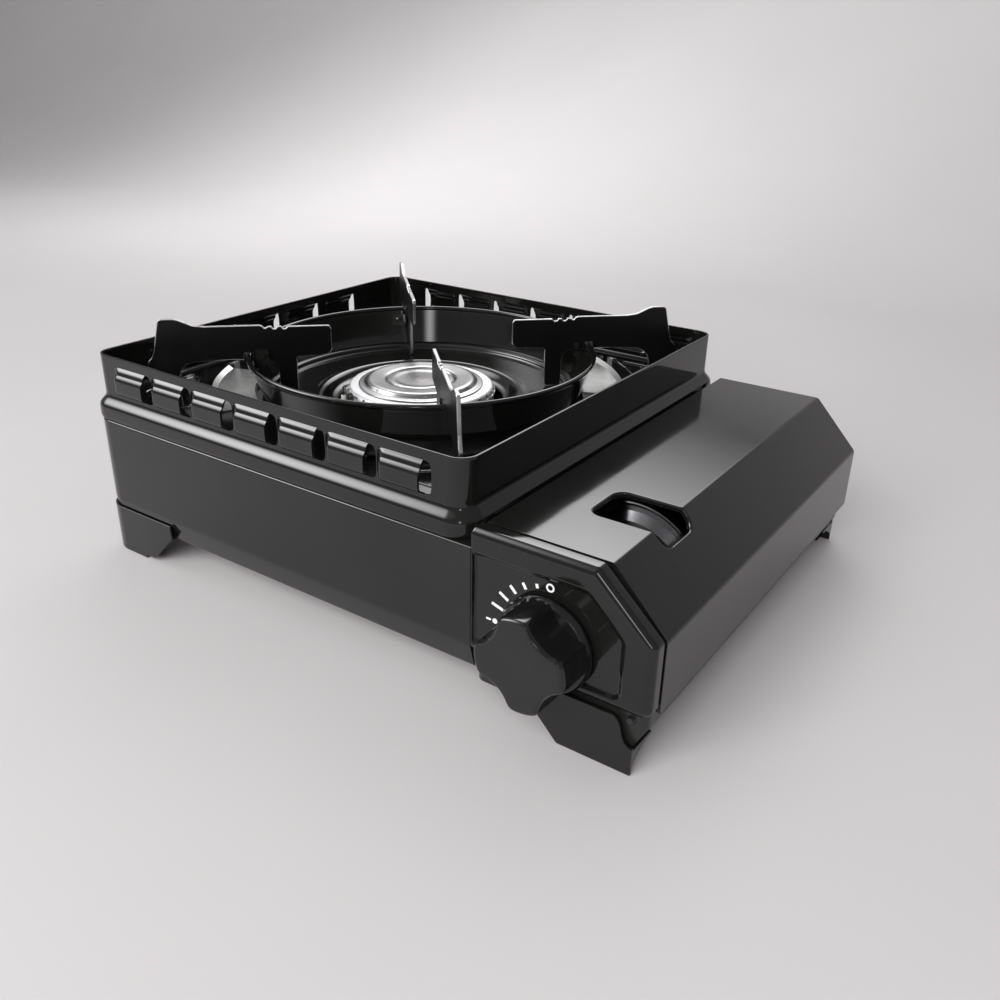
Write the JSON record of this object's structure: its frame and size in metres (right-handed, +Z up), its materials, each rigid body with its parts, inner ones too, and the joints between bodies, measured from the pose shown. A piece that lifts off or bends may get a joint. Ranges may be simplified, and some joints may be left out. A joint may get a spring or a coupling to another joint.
{
  "type": "butane cassette stove",
  "caption": "Low portable gas stove with a square windbreak, four diagonal pan supports, lobed front knob and a hinged cartridge lid beside the burner.",
  "frame": {"origin": "centre of the overall bounding box at the plane the feet stand on", "axes": "+X to the cartridge side, -Y to the front with the knob, +Z up"},
  "size_m": [0.341, 0.277, 0.129],
  "materials": {
    "enamel_black": "high-gloss black baked enamel",
    "satin_black": "satin black paint",
    "knob_plastic": "glossy black moulded plastic",
    "print_white": "pale grey printed marks",
    "stainless": "bright rolled stainless steel",
    "plated_steel": "zinc plated sheet steel",
    "cast_alu": "die cast aluminium",
    "rolled_alu": "rolled aluminium sheet",
    "brass": "turned brass",
    "ceramic": "fired white ceramic",
    "rubber": "nitrile rubber",
    "lead_red": "silicone insulated wire",
    "tinplate": "tin plated steel",
    "magnet": "sintered ferrite",
    "igniter_white": "white moulded plastic"
  },
  "bodies": {
    "chassis": {"body_shell": "enamel_black", "bottom_plate": "plated_steel", "partition_wall": "plated_steel", "bay_base": "satin_black", "front_bezel": "enamel_black", "control_panel": "satin_black", "dial_marks": "print_white", "foot_front_left": "enamel_black", "foot_front_right": "enamel_black", "foot_rear_left": "enamel_black", "foot_rear_right": "enamel_black", "case_screws": "satin_black", "windbreak_tray": "enamel_black", "stay_plates": "stainless", "drip_bowl": "enamel_black", "burner_base": "cast_alu", "burner_ports": "cast_alu", "burner_cap": "stainless", "burner_dish": "stainless", "burner_bracket": "plated_steel", "mixing_tube": "plated_steel", "jet_nozzle": "brass", "gas_pipe": "brass", "electrode_body": "ceramic", "electrode_tip": "stainless", "electrode_bracket": "satin_black", "ignition_lead": "lead_red", "regulator_body": "cast_alu", "regulator_cover": "plated_steel", "inlet_gland": "rubber", "magnet_holder": "plated_steel", "magnets": "magnet", "panel_bush": "knob_plastic", "igniter_body": "igniter_white", "heat_panel": "rolled_alu", "cartridge_cradle": "satin_black", "hinge_brackets": "plated_steel", "hinge_pins": "plated_steel", "lid_catch": "stainless"},
    "knob_set": {"knob": "knob_plastic", "knob_spindle": "plated_steel", "spindle_cam": "knob_plastic"},
    "pressure_pin": {"pressure_pin": "brass"},
    "igniter_plunger": {"igniter_plunger": "knob_plastic"},
    "lid": {"lid_shell": "enamel_black", "lid_hinge_arms": "plated_steel"},
    "cartridge": {"cartridge_can": "tinplate", "cartridge_dome": "tinplate", "cartridge_base": "tinplate", "cartridge_collar": "tinplate", "cartridge_valve": "tinplate"},
    "pan_support": {"support_ring": "enamel_black", "blade_front_left": "enamel_black", "blade_front_right": "enamel_black", "blade_rear_left": "enamel_black", "blade_rear_right": "enamel_black", "blade_clips": "enamel_black", "blade_rivets": "enamel_black"},
    "air_shutter": {"air_shutter": "plated_steel"}
  },
  "joints": [
    {"name": "knob_turn", "type": "hinge", "parent": "chassis", "child": "knob_set", "pos_m": [0.1232, -0.115, 0.0464], "axis": [0, 1, 0], "range_deg": [-10, 86]},
    {"name": "pressure_pin_slide", "type": "slide", "parent": "chassis", "child": "pressure_pin", "axis": [0, 1, 0], "range_m": [-0.0004, 0.0018]},
    {"name": "igniter_press", "type": "slide", "parent": "chassis", "child": "igniter_plunger", "axis": [-1, 0, 0], "range_m": [0, 0.003], "stiffness_N_per_m": 400, "springref_m": -0.001},
    {"name": "lid_hinge", "type": "hinge", "parent": "chassis", "child": "lid", "pos_m": [0.0889, 0.013, 0.0822], "axis": [0, -1, 0], "range_deg": [0, 80]},
    {"name": "cartridge_slide", "type": "slide", "parent": "chassis", "child": "cartridge", "axis": [0, 1, 0], "range_m": [0, 0.0045]},
    {"name": "pan_support_lift", "type": "slide", "parent": "chassis", "child": "pan_support", "axis": [0, 0, 1], "range_m": [0, 0.06]},
    {"name": "air_shutter_turn", "type": "hinge", "parent": "chassis", "child": "air_shutter", "pos_m": [0.03469, -0.0344, 0.064], "axis": [0.866, -0.5, 0], "range_deg": [-20, 20]}
  ],
  "couplings": [
    {"joint": "pressure_pin_slide", "follows": "knob_turn", "m_per_rad": 0.001}
  ]
}
